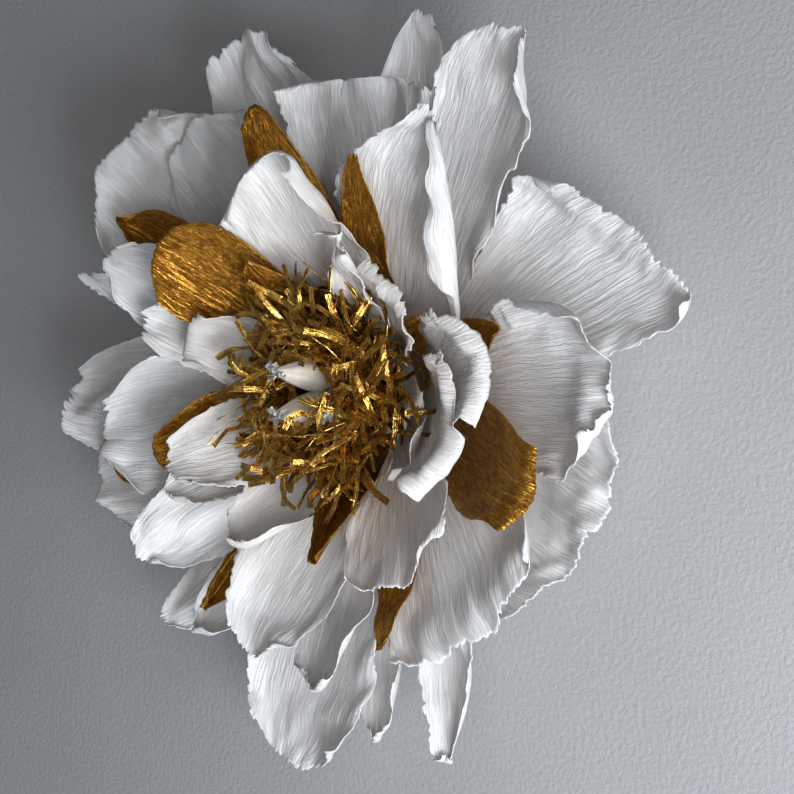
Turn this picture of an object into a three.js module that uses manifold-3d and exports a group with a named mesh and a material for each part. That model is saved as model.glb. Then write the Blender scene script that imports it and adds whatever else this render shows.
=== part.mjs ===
// A giant paper flower that hangs flat on a wall: crepe-paper petals, gold petals among them,
// and a heart of fringed gold strips round three pods. Millimetres, +Z up. The wall is the
// plane y = 0, the flower faces -Y, and the origin is the centre of the backing disc's back.
import * as THREE from 'three';
import Module from 'manifold-3d';

const wasm = await Module();
wasm.setup();
const { Manifold, Mesh } = wasm;
const RAD = Math.PI / 180;

// ---- driving dimensions ----
const PAPER = 0.8; // a petal's thickness: doubled crepe paper, wrinkles included
const CLEAR = 1.7; // middle of one petal to the middle of the next, where they lie together
const DISC_R = 46; // backing disc
const DISC_T = 3;
const CORE_R = 17; // the plug that the inner petals, the fringe and the pods are glued round
const CORE_TOP = 40;
const FRINGES = 8; // rolled fringes in the ring
const FRINGE_RING_R = 21;
const ROLL_R = 6.6; // the uncut foot of one rolled fringe
const ROLL_H = 10;
const STRANDS = 9; // cut strips on one rolled fringe
const STRAND_W = 1.7;
const STRAND_L = 54;
const STRAND_LEAN = 31; // how far a strip's end leans out
const OUTER_STRANDS = 6; // strips round the foot's edge; the rest stand inside
const POD_R = 7.2;
const POD_L = 70;
const PODS = [[97, 3, 1.0], [263, 6, 0.98], [325, 20, 0.76]]; // direction, lean (degrees), size
const ROWS = 7; // quads along a petal
const COLS = 6; // quads across it
const STEPS = 24; // short straight steps that make up a petal's bent middle line
const STACK_ROUNDS = 6; // how often a petal is lifted again until it lies clear

// ---- where each ring of petals is glued: distance from the axis, height off the wall ----
const ROOTS = {
  wall: [36, 7],
  low: [34, 8],
  second: [31, 12],
  third: [28, 15],
  fourth: [26, 19],
  heart: [27, 22],
};

// ---- outlines: half width from root to tip, as shares of the widest; then how far the
// corners fall back from the tip, as a share of the length ----
const OUTLINES = {
  fan: [[0.08, 0.3, 0.54, 0.72, 0.88, 0.97, 1.0, 0.93], 0.14],
  paddle: [[0.12, 0.34, 0.58, 0.78, 0.93, 1.0, 0.96, 0.72], 0.08],
  strap: [[0.2, 0.46, 0.75, 0.91, 1.0, 0.99, 0.86, 0.56], 0.05],
  axe: [[0.08, 0.3, 0.52, 0.7, 0.84, 0.94, 1.0, 0.97], 0.02],
  leaf: [[0.2, 0.56, 0.88, 1.0, 0.95, 0.78, 0.52, 0.18], 0.0],
  spear: [[0.22, 0.5, 0.84, 0.98, 0.98, 0.82, 0.54, 0.2], 0.0],
};

// ---- petals, from the wall outwards. name, colour, direction round the axis (degrees from
// +X towards +Z), rise off the wall (degrees), length, width, ring, outline, cup (share of
// the width), arch (degrees: how much steeper the root is than the middle), twist (degrees),
// sweep (degrees: how far the root leans to one side of the direction and the tip to the other),
// slant (share of the length: how much shorter the tip's cut is on its anticlockwise side)
const PETALS = [
  ['petal_sw_long', 'white', 223, 10, 196, 46, 'wall', 'strap', 0.1, 4, 8],
  ['petal_top_point', 'white', 77, 12, 190, 84, 'wall', 'spear', 0.12, 4, 10],
  ['petal_right_fan', 'white', 23, 12, 176, 118, 'wall', 'axe', 0.1, 2, 6, 0, 0.15],
  ['petal_se_wide', 'white', 338, 12, 150, 150, 'wall', 'fan', 0.12, 0, -6],
  ['petal_s_thin', 'white', 276, 12, 180, 44, 'wall', 'strap', 0.2, 4, 14],
  ['petal_s_long', 'white', 290, 13, 200, 50, 'wall', 'spear', 0.2, 4, -16, 20],
  ['petal_w_low', 'white', 197, 13, 202, 88, 'wall', 'paddle', 0.1, 6, -8],
  ['petal_s_ragged', 'white', 259, 12, 200, 104, 'wall', 'paddle', 0.12, 6, 6],
  ['petal_w_tongue', 'white', 181, 14, 213, 84, 'wall', 'strap', 0.1, 8, 4],
  ['petal_nw_thin', 'white', 161, 16, 212, 38, 'wall', 'spear', 0.15, 6, 12],
  ['petal_n_left', 'white', 109, 16, 206, 90, 'wall', 'fan', 0.1, 6, -10, 0, -0.06],
  ['petal_ne_tall', 'white', 55, 16, 206, 84, 'wall', 'paddle', 0.14, 6, -8],
  ['petal_sw_fold', 'white', 232, 15, 176, 52, 'wall', 'strap', 0.14, 6, 12],
  ['petal_e_curl', 'white', 2, 17, 164, 104, 'low', 'paddle', 0.18, 4, 10],
  ['petal_nw_broad', 'white', 138, 18, 217, 118, 'low', 'fan', 0.1, 8, 6],
  ['petal_s_broad', 'white', 308, 18, 148, 128, 'low', 'fan', 0.12, 4, -8],
  ['petal_n_second', 'white', 125, 20, 180, 92, 'low', 'fan', 0.1, 8, -6],
  ['petal_n_centre', 'white', 79, 22, 162, 122, 'low', 'axe', 0.12, 8, 4],
  ['gold_s_long', 'gold', 288, 18, 138, 34, 'low', 'spear', 0.15, 2, 6],
  ['gold_w_low', 'gold', 192, 20, 180, 62, 'second', 'strap', 0.16, 4, -8],
  ['gold_sw_low', 'gold', 233, 22, 150, 38, 'second', 'spear', 0.16, 4, 8],
  ['gold_e_short', 'gold', 18, 22, 84, 38, 'second', 'spear', 0.16, 0, 6],
  ['gold_nw_thin', 'gold', 145, 24, 184, 44, 'second', 'strap', 0.14, 6, -6],
  ['petal_w_flap', 'white', 189, 25, 171, 92, 'second', 'paddle', 0.14, 8, 6],
  ['petal_sw_inner', 'white', 217, 26, 166, 58, 'second', 'strap', 0.14, 6, -10],
  ['petal_s_curl', 'white', 272, 25, 170, 58, 'second', 'strap', 0.2, 6, 12],
  ['petal_ssw_inner', 'white', 254, 28, 154, 76, 'second', 'strap', 0.16, 6, -8],
  ['petal_wnw_inner', 'white', 153, 29, 177, 58, 'second', 'strap', 0.14, 6, 6],
  ['gold_e_long', 'gold', 340, 29, 145, 62, 'second', 'strap', 0.12, 4, -6],
  ['gold_n_left', 'gold', 103, 30, 160, 42, 'second', 'strap', 0.14, 6, 6],
  ['petal_ne_rolled', 'white', 51, 29, 176, 122, 'third', 'leaf', 0.16, 8, 8],
  ['petal_s_middle', 'white', 302, 33, 120, 88, 'third', 'paddle', 0.16, 6, -6],
  ['petal_w_second', 'white', 160, 35, 141, 50, 'third', 'strap', 0.16, 6, 8],
  ['petal_sw_tip', 'white', 211, 36, 134, 48, 'third', 'strap', 0.16, 6, 10],
  ['petal_e_inner', 'white', 9, 36, 116, 68, 'third', 'fan', 0.18, 6, 4, 0, 0.13],
  ['gold_n_right', 'gold', 68, 38, 140, 36, 'third', 'spear', 0.14, 6, 4, 8],
  ['petal_se_inner', 'white', 347, 42, 110, 76, 'third', 'fan', 0.18, 6, -4, 0, 0.13],
  ['gold_w_inner', 'gold', 197, 39, 126, 52, 'fourth', 'strap', 0.14, 6, -6],
  ['petal_n_inner', 'white', 96, 40, 150, 88, 'fourth', 'fan', 0.16, 4, 6],
  ['gold_nw_inner', 'gold', 136, 44, 142, 66, 'fourth', 'fan', 0.12, 4, 4],
  ['petal_sw_heart', 'white', 242, 44, 117, 52, 'fourth', 'strap', 0.18, 6, 8],
  ['petal_w_heart', 'white', 160, 47, 112, 50, 'fourth', 'strap', 0.18, 4, -8],
  ['petal_wsw_heart', 'white', 207, 48, 122, 58, 'fourth', 'strap', 0.16, 4, 6],
  ['gold_s_inner', 'gold', 279, 47, 107, 34, 'fourth', 'spear', 0.14, 4, 6],
  ['petal_e_flat', 'white', 327, 40, 74, 46, 'heart', 'strap', 0.14, 2, -4],
  ['gold_e_heart', 'gold', 20, 38, 64, 40, 'heart', 'strap', 0.2, 10, 6],
  ['gold_n_heart', 'gold', 114, 56, 98, 38, 'heart', 'spear', 0.16, 0, 6],
  ['petal_n_hook', 'white', 44, 50, 96, 56, 'heart', 'strap', 0.12, 6, 4],
  ['petal_ne_heart', 'white', 60, 42, 110, 40, 'heart', 'strap', 0.14, 6, 8],
];

const MATERIALS = {
  white: new THREE.MeshStandardMaterial({ color: 0xe9e7e2, roughness: 0.85, side: THREE.FrontSide }),
  gold: new THREE.MeshStandardMaterial({ color: 0xb07f2e, roughness: 0.42, metalness: 0.8 }),
  fringe: new THREE.MeshStandardMaterial({ color: 0xc08c34, roughness: 0.36, metalness: 0.85 }),
  pod: new THREE.MeshStandardMaterial({ color: 0xddd6c4, roughness: 0.6 }),
  card: new THREE.MeshStandardMaterial({ color: 0xc9c2b4, roughness: 0.9 }),
};

const group = new THREE.Group();
group.name = 'giant_paper_flower';

function addMesh(name, geometry, material) {
  geometry.computeVertexNormals();
  const mesh = new THREE.Mesh(geometry, material);
  mesh.name = name;
  group.add(mesh);
}

// A point at a distance r from the axis, in direction a, at a height h off the wall.
const at = (r, a, h) => new THREE.Vector3(r * Math.cos(a), -h, r * Math.sin(a));

// ---- one petal's middle surface, as (ROWS + 1) x (COLS + 1) points ----
function petalGrid([, , dir, rise, length, width, ring, outline, cup, arch, twist, sweep = 0,
  slant = 0]) {
  const [halfShares, drop] = OUTLINES[outline];
  const [rootR, rootH] = ROOTS[ring];
  const a = dir * RAD;
  const out = new THREE.Vector3(0, -1, 0);
  const heading = (u) => at(1, a + sweep * (1 - 2 * u) * RAD, 0);
  const slope = (u) => (rise + arch * (1 - 2 * u)) * RAD;
  const grid = [];
  for (let i = 0; i <= ROWS; i += 1) {
    const row = [];
    for (let j = 0; j <= COLS; j += 1) {
      const u = i / ROWS;
      const v = (2 * j) / COLS - 1;
      const reach = u * (1 - (drop * v * v + slant * v) * u);
      const half = (width / 2) * halfShares[i];
      const centre = at(rootR, a, rootH);
      for (let k = 0; k < STEPS; k += 1) {
        const soFar = (reach * (k + 0.5)) / STEPS;
        const e = slope(soFar);
        const along = heading(soFar);
        const step = (reach * length) / STEPS;
        centre.addScaledVector(along, step * Math.cos(e)).addScaledVector(out, step * Math.sin(e));
      }
      const e = slope(reach);
      const along = heading(reach);
      const side = new THREE.Vector3(-along.z, 0, along.x);
      const up = out.clone().multiplyScalar(Math.cos(e)).addScaledVector(along, -Math.sin(e));
      const turn = twist * RAD * u;
      const lift = cup * width * v * v * Math.sin(Math.PI * Math.min(0.5 + u, 1) * 0.5) * u;
      const wave = 0.03 * width * v * v * u * Math.sin(9 * u + dir + 1.6 * v);
      centre.addScaledVector(side, half * v * Math.cos(turn));
      centre.addScaledVector(up, lift + wave + half * v * Math.sin(turn));
      row.push(centre);
    }
    grid.push(row);
  }
  return grid;
}

// ---- stacking ----
// Every petal is seen from the flower's centre: a distance, a direction round the axis and an
// elevation off the wall. The ceiling holds the highest elevation so far in each small cell of
// distance and direction, and each new petal is turned upwards until it clears the ceiling.
const CELL_R = 2.5;
const CELLS_R = 120;
const CELLS_A = 240;
const ceiling = new Float64Array(CELLS_R * CELLS_A).fill(-1);

const distanceOf = (p) => p.length();
const elevationOf = (p) => Math.asin(-p.y / p.length());
const cellOf = (p) => {
  const turn = Math.atan2(p.z, p.x) / (2 * Math.PI) + 1;
  return [Math.floor(distanceOf(p) / CELL_R), Math.floor(turn * CELLS_A) % CELLS_A];
};

// Calls use(point, i, j) for points spread over the two triangles of every quad.
function eachSample(grid, use) {
  const N = 9;
  const p = new THREE.Vector3();
  for (let i = 0; i < ROWS; i += 1) {
    for (let j = 0; j < COLS; j += 1) {
      const corners = [grid[i][j], grid[i + 1][j], grid[i + 1][j + 1], grid[i][j + 1]];
      for (let s = 0; s <= N; s += 1) {
        for (let t = 0; t <= N; t += 1) {
          const [su, tu] = [s / N, t / N];
          const middle = su > tu ? corners[1] : corners[3];
          const [big, small] = su > tu ? [su, tu] : [tu, su];
          p.copy(corners[0]).multiplyScalar(1 - big);
          p.addScaledVector(middle, big - small).addScaledVector(corners[2], small);
          use(p, i, j);
        }
      }
    }
  }
}

function highestNear(r, a) {
  let top = -1;
  for (let dr = -1; dr <= 1; dr += 1) {
    for (let da = -1; da <= 1; da += 1) {
      const cell = (r + dr) * CELLS_A + ((a + da + CELLS_A) % CELLS_A);
      top = Math.max(top, ceiling[cell] ?? -1);
    }
  }
  return top;
}

// Turns a point upwards about the centre, in the plane that holds it and the axis.
function turnUp(p, angle) {
  const length = distanceOf(p);
  const e = elevationOf(p) + angle;
  const flat = Math.hypot(p.x, p.z) || 1;
  const r = length * Math.cos(e);
  p.set((p.x / flat) * r, -length * Math.sin(e), (p.z / flat) * r);
}

function stack(grid) {
  for (let round = 0; round < STACK_ROUNDS; round += 1) {
    const lift = grid.map((row) => row.map(() => 0));
    let most = 0;
    eachSample(grid, (p, i, j) => {
      const top = highestNear(...cellOf(p));
      if (top < 0) return;
      const needed = top + CLEAR / distanceOf(p) - elevationOf(p);
      if (needed <= 0) return;
      most = Math.max(most, needed);
      for (const [a, b] of [[i, j], [i + 1, j], [i, j + 1], [i + 1, j + 1]]) {
        lift[a][b] = Math.max(lift[a][b], needed);
      }
    });
    if (most === 0) break;
    grid.forEach((row, i) => row.forEach((p, j) => turnUp(p, lift[i][j] * 1.02)));
  }
  eachSample(grid, (p) => {
    const [r, a] = cellOf(p);
    ceiling[r * CELLS_A + a] = Math.max(ceiling[r * CELLS_A + a], elevationOf(p));
  });
}

// ---- the sheet: a front and a back half the paper's thickness each side of the grid ----
function sheetGeometry(grid) {
  const rows = grid.length;
  const cols = grid[0].length;
  const front = [];
  const back = [];
  for (let i = 0; i < rows; i += 1) {
    for (let j = 0; j < cols; j += 1) {
      const down = grid[Math.min(i + 1, rows - 1)][j].clone().sub(grid[Math.max(i - 1, 0)][j]);
      const across = grid[i][Math.min(j + 1, cols - 1)].clone().sub(grid[i][Math.max(j - 1, 0)]);
      const normal = down.cross(across).normalize();
      front.push(...grid[i][j].clone().addScaledVector(normal, PAPER / 2));
      back.push(...grid[i][j].clone().addScaledVector(normal, -PAPER / 2));
    }
  }
  const shift = rows * cols;
  const index = [];
  for (let i = 0; i < rows - 1; i += 1) {
    for (let j = 0; j < cols - 1; j += 1) {
      const a = i * cols + j;
      const [b, c, d] = [a + cols, a + cols + 1, a + 1];
      index.push(a, b, d, b, c, d);
      index.push(a + shift, d + shift, b + shift, b + shift, d + shift, c + shift);
    }
  }
  const rim = [];
  for (let j = 0; j < cols - 1; j += 1) rim.push(j);
  for (let i = 0; i < rows - 1; i += 1) rim.push(i * cols + cols - 1);
  for (let j = cols - 1; j > 0; j -= 1) rim.push((rows - 1) * cols + j);
  for (let i = rows - 1; i > 0; i -= 1) rim.push(i * cols);
  rim.forEach((a, k) => {
    const b = rim[(k + 1) % rim.length];
    index.push(a, b, a + shift, b, b + shift, a + shift);
  });
  const geometry = new THREE.BufferGeometry();
  geometry.setAttribute('position', new THREE.Float32BufferAttribute([...front, ...back], 3));
  geometry.setIndex(index);
  return geometry;
}

for (const petal of PETALS) {
  const grid = petalGrid(petal);
  stack(grid);
  addMesh(petal[0], sheetGeometry(grid), MATERIALS[petal[1]]);
}

// ---- backing disc and core ----
function turned(radius, low, high, topRadius) {
  const height = high - low;
  const solid = new THREE.CylinderGeometry(topRadius, radius, height, 40);
  // The cylinder stands on +Y: turned over, it stands off the wall along -Y.
  return solid.rotateX(Math.PI).translate(0, -(low + high) / 2, 0);
}
addMesh('backing_disc', turned(DISC_R, 0, DISC_T, DISC_R - 1), MATERIALS.card);
addMesh('core', turned(CORE_R, DISC_T + 0.2, CORE_TOP, CORE_R - 2), MATERIALS.card);

// ---- solids for the heart ----
function geometryOf(solid) {
  const mesh = solid.getMesh();
  const geometry = new THREE.BufferGeometry();
  const places = new Float32Array(mesh.vertProperties);
  geometry.setAttribute('position', new THREE.BufferAttribute(places, 3));
  geometry.setIndex([...mesh.triVerts]);
  return geometry;
}

// A closed tube through a list of points, with a radius at each and n sides.
function tube(points, radii, n, spin) {
  const places = [];
  const index = [];
  const last = points.length - 1;
  points.forEach((p, k) => {
    const before = points[Math.max(k - 1, 0)];
    const after = points[Math.min(k + 1, last)];
    const axis = after.clone().sub(before).normalize();
    const one = new THREE.Vector3(0, 0, 1).cross(axis).normalize();
    const two = axis.clone().cross(one);
    for (let s = 0; s < n; s += 1) {
      const angle = spin + (2 * Math.PI * s) / n;
      const q = p.clone().addScaledVector(one, radii[k] * Math.cos(angle));
      places.push(...q.addScaledVector(two, radii[k] * Math.sin(angle)));
    }
  });
  for (let k = 0; k < last; k += 1) {
    for (let s = 0; s < n; s += 1) {
      const a = k * n + s;
      const b = k * n + ((s + 1) % n);
      index.push(a, b, a + n, b, b + n, a + n);
    }
  }
  for (let s = 1; s < n - 1; s += 1) {
    index.push(0, s + 1, s);
    index.push(last * n, last * n + s, last * n + s + 1);
  }
  const vertProperties = new Float32Array(places);
  return new Manifold(new Mesh({ numProp: 3, vertProperties, triVerts: new Uint32Array(index) }));
}

// ---- rolled fringes: a foot with a ring of cut strips that splay and lean outwards ----
function fringe(n) {
  const a = ((n + 0.5) / FRINGES) * 2 * Math.PI;
  const foot = at(FRINGE_RING_R, a, CORE_TOP + 0.3);
  const top = at(FRINGE_RING_R + 1, a, CORE_TOP + ROLL_H);
  let solid = tube([foot, top], [ROLL_R, ROLL_R], 12, 0);
  for (let k = 0; k < STRANDS; k += 1) {
    const outer = k < OUTER_STRANDS;
    const ring = outer ? 0.8 : 0.34;
    const share = outer ? k / OUTER_STRANDS : (k - OUTER_STRANDS) / (STRANDS - OUTER_STRANDS);
    const t = 2 * Math.PI * share + n;
    const across = new THREE.Vector3(-Math.sin(a), 0, Math.cos(a));
    const outward = new THREE.Vector3(Math.cos(a), 0, Math.sin(a));
    const points = [];
    for (const s of [-0.1, 0.35, 0.7, 1]) {
      const h = CORE_TOP + ROLL_H + s * STRAND_L * (k % 3 === 1 ? 0.84 : 1);
      const spread = ROLL_R * ring * (1 + 0.12 * Math.max(s, 0));
      const lean = FRINGE_RING_R + 1 + STRAND_LEAN * Math.max(s, 0) ** 1.5;
      const fan = (lean / FRINGE_RING_R) * spread * Math.cos(t);
      const p = outward.clone().multiplyScalar(lean + spread * Math.sin(t));
      points.push(p.addScaledVector(across, fan).add(new THREE.Vector3(0, -h, 0)));
    }
    const w = STRAND_W;
    solid = solid.add(tube(points, [w * 0.7, w * 0.7, w * 0.6, w * 0.35], 3, t));
  }
  return solid;
}
for (let n = 0; n < FRINGES; n += 1) {
  addMesh(`fringe_${n + 1}`, geometryOf(fringe(n)), MATERIALS.fringe);
}

// ---- three tapered pods that lean apart from one foot ----
function pods() {
  let solid = tube([at(0, 0, CORE_TOP + 0.3), at(0, 0, CORE_TOP + 10)], [12, 11], 16, 0);
  const shares = [0.0, 0.14, 0.36, 0.58, 0.78, 0.92, 1.0];
  const widths = [0.62, 0.86, 1.0, 0.86, 0.54, 0.3, 0.14];
  for (const [dir, lean, size] of PODS) {
    const a = dir * RAD;
    const points = shares.map((s) => {
      const reach = 6.5 + POD_L * size * s * Math.sin(lean * RAD);
      return at(reach, a, CORE_TOP + 4 + POD_L * size * s * Math.cos(lean * RAD));
    });
    solid = solid.add(tube(points, widths.map((w) => w * POD_R * size), 12, 0));
  }
  return solid;
}
addMesh('pods', geometryOf(pods()), MATERIALS.pod);

export default group;
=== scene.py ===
# %% [markdown]
# # A giant paper flower
# The flower hangs flat on a wall and faces -Y. Its petals are crepe paper, cut, stretched and curled
# by hand; among them stand petals of gold crepe, and in the middle a ring of gold fringe hides four
# pale pods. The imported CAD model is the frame: each petal here starts from its CAD solid's own
# middle surface, and gets the paper's rolled edges, ragged cut, ruffles and wrinkles. A flower
# could also be modelled freely, but starting from the CAD keeps every petal in its place.

# %% Load the frame
import math

import bpy
import numpy as np
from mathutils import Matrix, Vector
from mathutils.bvhtree import BVHTree


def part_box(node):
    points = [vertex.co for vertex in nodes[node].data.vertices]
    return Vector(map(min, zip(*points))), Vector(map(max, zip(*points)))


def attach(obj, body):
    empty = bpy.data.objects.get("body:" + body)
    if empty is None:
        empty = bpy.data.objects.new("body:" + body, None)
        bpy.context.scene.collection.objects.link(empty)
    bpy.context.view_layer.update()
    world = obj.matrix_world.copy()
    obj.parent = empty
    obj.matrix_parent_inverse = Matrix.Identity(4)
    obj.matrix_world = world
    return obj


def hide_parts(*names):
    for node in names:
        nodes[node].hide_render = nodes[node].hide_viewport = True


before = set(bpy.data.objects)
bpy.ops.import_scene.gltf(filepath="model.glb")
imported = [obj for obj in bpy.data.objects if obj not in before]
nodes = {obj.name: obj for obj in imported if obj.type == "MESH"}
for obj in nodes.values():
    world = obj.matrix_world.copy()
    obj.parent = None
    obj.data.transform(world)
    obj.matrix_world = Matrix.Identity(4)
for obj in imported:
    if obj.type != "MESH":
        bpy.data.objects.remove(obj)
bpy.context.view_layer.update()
bpy.ops.object.select_all(action="DESELECT")
print(len(nodes), "CAD nodes")

# %% [markdown]
# ## Sizes
# Blender works in metres, and the flower is easier to think of in millimetres, so one factor
# turns them. The paper is as thick as one layer of stretched crepe. A sheet's rows and columns
# are close enough for its wide wrinkles, and the fine ones are left to the material.

# %% Units and paper
MM = 0.001
PAPER = 0.45 * MM
ALONG = 2.3 * MM  # spacing of a sheet's rows
ACROSS = 1.3 * MM  # spacing of its columns
PITCH = 4.2 * MM  # spacing of the wide wrinkles
print("paper", PAPER / MM, "mm thick, wrinkles", PITCH / MM, "mm apart")

# %% [markdown]
# ## Shader maths
# A material's patterns are sums and products of noises. They could be wired node by node, but a
# small wrapper lets them be written as Python expressions, which are easier to read and change.


# %% A socket that takes part in sums
class Value:
    """A shader socket that can be added, multiplied and mixed."""

    def __init__(self, tree, socket):
        self.tree, self.socket = tree, socket

    def node(self, kind, inputs=(), output=0, **settings):
        made = self.tree.nodes.new(kind)
        for name, value in settings.items():
            setattr(made, name, value)
        for name, value in dict(inputs).items():
            if isinstance(value, Value):
                self.tree.links.new(value.socket, made.inputs[name])
            else:
                made.inputs[name].default_value = value
        return Value(self.tree, made.outputs[output])

    def maths(self, operation, other=0.0):
        return self.node("ShaderNodeMath", {0: self, 1: other}, operation=operation)

    def __add__(self, other):
        return self.maths("ADD", other)

    def __sub__(self, other):
        return self.maths("SUBTRACT", other)

    def __mul__(self, other):
        return self.maths("MULTIPLY", other)

    def __rsub__(self, other):
        return (self * -1.0) + other

    __radd__ = __add__
    __rmul__ = __mul__

    def ramp(self, low, high, to_low=0.0, to_high=1.0):
        """The value carried from the range low-high to another one, and held inside it."""
        inputs = {0: self, 1: low, 2: high, 3: to_low, 4: to_high}
        return self.node("ShaderNodeMapRange", inputs)

    def colours(self, first, second):
        """A mix of two colours; sockets 6, 7 and output 2 are the Mix node's colour ones."""
        inputs = {"Factor": self, 6: first, 7: second}
        return self.node("ShaderNodeMix", inputs, output=2, data_type="RGBA")

    def scaled(self, x, y, z=1.0):
        return self.node("ShaderNodeVectorMath", {0: self, 1: (x, y, z)}, operation="MULTIPLY")

    def noise(self, scale, detail=2.0, roughness=0.5):
        inputs = {"Vector": self, "Scale": scale, "Detail": detail, "Roughness": roughness}
        return self.node("ShaderNodeTexNoise", inputs)

    def bump(self, distance, strength=1.0):
        inputs = {"Height": self, "Distance": distance, "Strength": strength}
        return self.node("ShaderNodeBump", inputs)

    def object_place(self):
        """Places in the object's own coordinates, which for every piece are the flower's."""
        return self.node("ShaderNodeTexCoord", output="Object")


# %% An empty material
def new_material(name):
    """An empty material, its output node, and a wrapper to start from."""
    material = bpy.data.materials.new(name)
    material.use_nodes = True
    tree = material.node_tree
    tree.nodes.clear()
    output = tree.nodes.new("ShaderNodeOutputMaterial")
    return material, output, Value(tree, None)


def surface(start, output, shader):
    """The shader linked to the material's surface."""
    start.tree.links.new(shader.socket, output.inputs["Surface"])


# %% [markdown]
# ## Crepe paper
# Crepe has fine wrinkles along the petal, under 2 mm apart, that run together and part again, with
# wider folds over them. They could all be modelled, but at this fineness a bump is enough. The UV
# map holds flat paper coordinates in metres: x across the petal and y along it, so the wrinkles
# follow each petal however it curls. Noise scales are features to a metre.

# %% Heights that both papers share
WRINKLES_ACROSS = 420.0
WRINKLES_ALONG = 28.0
FOLDS_ACROSS = 150.0
FOLDS_ALONG = 30.0
PATCHES = 38.0
DRIFT = 6 * MM  # how far the wrinkles wander sideways


def crepe_heights(start):
    """Creases (0 in a crease, 1 on a ridge), wide folds and slow patches, each from 0 to 1."""
    flat = start.node("ShaderNodeUVMap", uv_map="UVMap")
    drift = flat.noise(30.0, 2.0).scaled(DRIFT, 0.0, 0.0)
    moved = flat.node("ShaderNodeVectorMath", {0: drift, 1: flat}, operation="ADD")
    run = moved.scaled(WRINKLES_ACROSS, WRINKLES_ALONG).noise(1.0, 3.0, 0.6)
    ridges = (run * 2.0 - 1.0).maths("ABSOLUTE").ramp(0.0, 0.2)
    wide = moved.scaled(FOLDS_ACROSS, FOLDS_ALONG).noise(1.0, 2.0, 0.5)
    patch = flat.noise(PATCHES, 4.0, 0.65)
    return ridges, wide, patch


# %% [markdown]
# ## White crepe
# The white paper is matt and lets light through, so shaded petals glow a little. A subsurface
# shader could do that in a thick body, but a sheet this thin is better with a share of
# translucency. Creases are painted a little darker, as painted shade, and near the heart the
# white is painted warmer, as painted light reflected from the gold.

# %% White paper's colours
# the darker crease white is painted shade in the creases
CREASE_SHADE_WHITE = (0.76, 0.755, 0.75, 1.0)
RIDGE_WHITE = (0.92, 0.92, 0.92, 1.0)
# the warm heart white is painted light, reflected from the gold on to the paper
GOLD_REFLECTION_WHITE = (0.86, 0.795, 0.73, 1.0)
GLOW_WHITE = (0.84, 0.8, 0.76, 1.0)
GLOW_SHARE = 0.27
GOLD_REFLECTION_OUTER = 140 * MM  # the warmer white starts this far from the flower's axis
GOLD_REFLECTION_INNER = 50 * MM  # and is full from here inwards


def white_crepe():
    material, output, start = new_material("white_crepe")
    ridges, wide, patch = crepe_heights(start)
    height = ridges * 0.24 + wide * 0.25 + patch * 0.3
    normal = height.bump(1.4 * MM)
    # painted shade: the creases are darker than the ridges; the slow patches are the paper's own tone
    shade = ridges * 0.65 + patch.ramp(0.3, 0.7) * 0.35
    colour = shade.colours(CREASE_SHADE_WHITE, RIDGE_WHITE)
    # painted reflection: the white is warmed near the axis, for the gold's light on it
    flat_place = start.object_place().scaled(1.0, 0.0, 1.0)
    off_axis = start.node("ShaderNodeVectorMath", {0: flat_place}, output="Value", operation="LENGTH")
    gold_reflection_share = off_axis.ramp(GOLD_REFLECTION_OUTER, GOLD_REFLECTION_INNER)
    colour = (gold_reflection_share * 0.8).colours(colour, GOLD_REFLECTION_WHITE)
    inputs = {"Base Color": colour, "Roughness": 0.86, "Normal": normal, "Specular IOR Level": 0.3}
    paper = start.node("ShaderNodeBsdfPrincipled", inputs)
    glow = start.node("ShaderNodeBsdfTranslucent", {"Color": GLOW_WHITE, "Normal": normal})
    surface(start, output, start.node("ShaderNodeMixShader", {0: GLOW_SHARE, 1: paper, 2: glow}))
    return material


# %% [markdown]
# ## Gold crepe
# The gold paper is the same crepe under a metallic coat, whose tone is patchy. Its colour is
# brown in the creases, as painted shade, and bright on the ridges and in flecks, as painted
# glints. One finish could serve all the gold, but the fringe is shinier, and painted darker
# towards its foot as shade, so it gets its own.

# %% Gold paper's colours
# the brown ends carry painted shade in the creases, the bright ends painted glints in the flecks
GOLD_BROWN_AND_SHADE = (0.2, 0.07, 0.008, 1.0)
GOLD_BRIGHT_AND_GLINT = (0.76, 0.39, 0.055, 1.0)
FRINGE_BROWN_AND_SHADE = (0.17, 0.06, 0.007, 1.0)
FRINGE_BRIGHT_AND_GLINT = (1.0, 0.63, 0.14, 1.0)
# painted shade: the fringe's foot lies in shadow, so its gold is painted dark brown there
FOOT_SHADE_BROWN = (0.05, 0.015, 0.002, 1.0)
FOOT_SHADE_LOW = 50 * MM  # the fringe's gold is all foot brown up to here from the wall
FOOT_SHADE_HIGH = 85 * MM  # and all its own from here


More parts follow.
